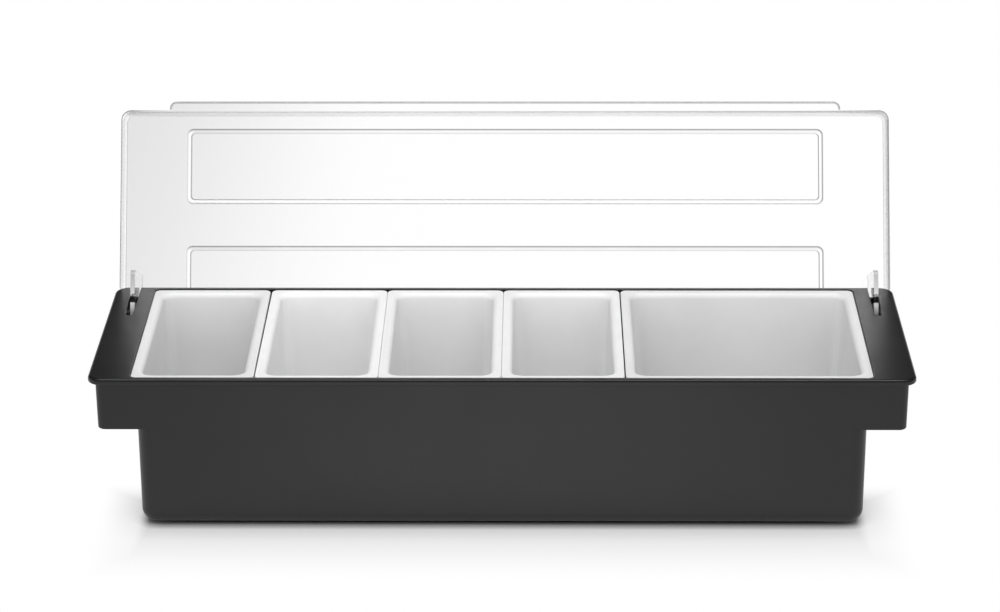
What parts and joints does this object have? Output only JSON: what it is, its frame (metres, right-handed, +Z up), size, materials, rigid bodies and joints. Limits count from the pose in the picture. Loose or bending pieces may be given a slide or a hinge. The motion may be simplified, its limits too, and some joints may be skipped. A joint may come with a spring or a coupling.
{
  "type": "bar condiment caddy",
  "caption": "Long low condiment caddy: a drafted tray with hand grips at its ends holds lift-out pans under a clear lid that swings on hooked arms.",
  "frame": {"origin": "on the surface the caddy stands on, under the middle of the tray", "axes": "+Z up; +X along the tray, to the user's right; the front of the caddy faces -Y and the lid is hinged at +Y"},
  "size_m": [0.5, 0.2162, 0.2072],
  "materials": {
    "tray_black": "satin moulded ABS, black",
    "lid_clear": "clear moulded styrene, polished",
    "pan_white": "smooth moulded polypropylene, white"
  },
  "bodies": {
    "tray": {"base_tray": "tray_black"},
    "lid": {"lid": "lid_clear"},
    "small_pan_1": {"small_pan_1": "pan_white"},
    "small_pan_2": {"small_pan_2": "pan_white"},
    "small_pan_3": {"small_pan_3": "pan_white"},
    "small_pan_4": {"small_pan_4": "pan_white"},
    "large_pan": {"large_pan": "pan_white"}
  },
  "joints": [
    {"name": "lid_hinge", "type": "hinge", "parent": "tray", "child": "lid", "pos_m": [0, 0.05921, 0.0865], "axis": [-1, 0, 0], "range_deg": [-116, 0]},
    {"name": "small_pan_1_lift", "type": "slide", "parent": "tray", "child": "small_pan_1", "axis": [0, 0, 1], "range_m": [0, 0.1]},
    {"name": "small_pan_2_lift", "type": "slide", "parent": "tray", "child": "small_pan_2", "axis": [0, 0, 1], "range_m": [0, 0.1]},
    {"name": "small_pan_3_lift", "type": "slide", "parent": "tray", "child": "small_pan_3", "axis": [0, 0, 1], "range_m": [0, 0.1]},
    {"name": "small_pan_4_lift", "type": "slide", "parent": "tray", "child": "small_pan_4", "axis": [0, 0, 1], "range_m": [0, 0.1]},
    {"name": "large_pan_lift", "type": "slide", "parent": "tray", "child": "large_pan", "axis": [0, 0, 1], "range_m": [0, 0.1]}
  ]
}
